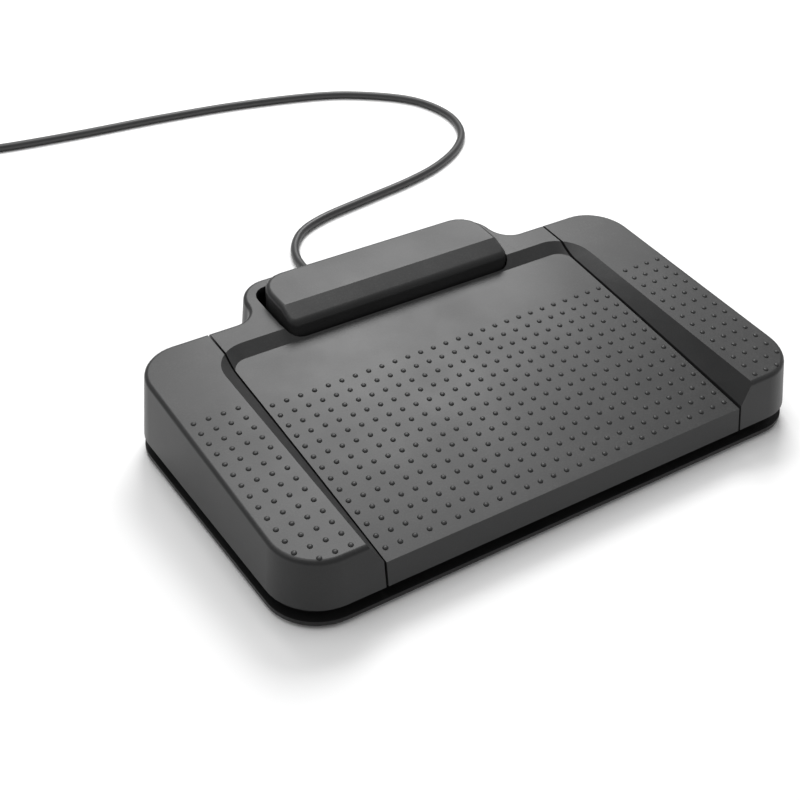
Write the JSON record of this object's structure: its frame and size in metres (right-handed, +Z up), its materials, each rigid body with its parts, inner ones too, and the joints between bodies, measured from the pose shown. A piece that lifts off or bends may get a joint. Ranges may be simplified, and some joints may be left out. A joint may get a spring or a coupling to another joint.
{
  "type": "dictation foot control",
  "caption": "Low wedge-shaped foot control with dimpled hinged pedals, a raised toe bar on a rear hump, a weighted base and a coiled USB lead.",
  "frame": {"origin": "on the floor, under the middle of the housing without its cord", "axes": "+Z up, +Y towards the hump and the cord, +X to the right of someone facing the hump"},
  "size_m": [0.301, 0.3768, 0.0415],
  "materials": {
    "charcoal_plastic": "fine satin texture",
    "black_plastic": "satin",
    "black_rubber": "matt",
    "cord_jacket": "smooth satin",
    "socket_plastic": "moulded",
    "bright_steel": "zinc plated",
    "magnet_nickel": "nickel plated",
    "green_board": "solder mask",
    "chip_resin": "moulded resin"
  },
  "bodies": {
    "base": {"base_tray": "black_plastic", "shaft_keeper_1": "black_plastic", "shaft_keeper_2": "black_plastic", "shaft_keeper_3": "black_plastic", "shaft_keeper_4": "black_plastic", "toe_bar_bracket": "black_plastic", "cable_clamp": "black_plastic", "coil_tie_1": "black_plastic", "coil_tie_2": "black_plastic", "anti_slip_mat": "black_rubber", "left_bumper": "black_rubber", "centre_bumper_left": "black_rubber", "centre_bumper_right": "black_rubber", "right_bumper": "black_rubber", "strain_relief": "black_rubber", "plug_body": "black_rubber", "cord": "cord_jacket", "cord_tail": "cord_jacket", "cord_coil": "cord_jacket", "cable_inside": "cord_jacket", "cable_socket": "socket_plastic", "ballast_plate": "bright_steel", "hinge_shaft": "bright_steel", "toe_bar_shaft": "bright_steel", "plug_shell": "bright_steel", "left_spring": "bright_steel", "right_spring": "bright_steel", "centre_spring_left": "bright_steel", "centre_spring_right": "bright_steel", "toe_spring_left": "bright_steel", "toe_spring_right": "bright_steel", "keeper_screw_1": "bright_steel", "keeper_screw_2": "bright_steel", "keeper_screw_3": "bright_steel", "keeper_screw_4": "bright_steel", "bracket_screw_1": "bright_steel", "bracket_screw_2": "bright_steel", "clamp_screw_1": "bright_steel", "clamp_screw_2": "bright_steel", "board_screw_1": "bright_steel", "board_screw_2": "bright_steel", "circuit_board": "green_board", "toe_sensor_board": "green_board", "hall_sensor_left": "chip_resin", "hall_sensor_centre": "chip_resin", "hall_sensor_right": "chip_resin", "hall_sensor_toe_bar": "chip_resin", "controller_chip": "chip_resin"},
    "left_pedal_body": {"left_pedal": "charcoal_plastic", "magnet_left": "magnet_nickel"},
    "centre_pedal_body": {"centre_pedal": "charcoal_plastic", "magnet_centre": "magnet_nickel"},
    "right_pedal_body": {"right_pedal": "charcoal_plastic", "magnet_right": "magnet_nickel"},
    "toe_bar_body": {"toe_bar": "charcoal_plastic", "magnet_toe_bar": "magnet_nickel"}
  },
  "joints": [
    {"name": "left_pedal_hinge", "type": "hinge", "parent": "base", "child": "left_pedal_body", "pos_m": [0, 0.038, 0.011], "axis": [1, 0, 0], "range_deg": [0, 2], "stiffness_Nm_per_rad": 3, "springref_deg": -6.88, "deforming": ["left_spring"]},
    {"name": "centre_pedal_hinge", "type": "hinge", "parent": "base", "child": "centre_pedal_body", "pos_m": [0, 0.038, 0.011], "axis": [1, 0, 0], "range_deg": [0, 2], "stiffness_Nm_per_rad": 4, "springref_deg": -6.88, "deforming": ["centre_spring_left", "centre_spring_right"]},
    {"name": "right_pedal_hinge", "type": "hinge", "parent": "base", "child": "right_pedal_body", "pos_m": [0, 0.038, 0.011], "axis": [1, 0, 0], "range_deg": [0, 2], "stiffness_Nm_per_rad": 3, "springref_deg": -6.88, "deforming": ["right_spring"]},
    {"name": "toe_bar_hinge", "type": "hinge", "parent": "base", "child": "toe_bar_body", "pos_m": [0, 0.0576, 0.029], "axis": [1, 0, 0], "range_deg": [0, 6], "stiffness_Nm_per_rad": 0.4, "springref_deg": -8.59, "deforming": ["toe_spring_left", "toe_spring_right"]}
  ]
}
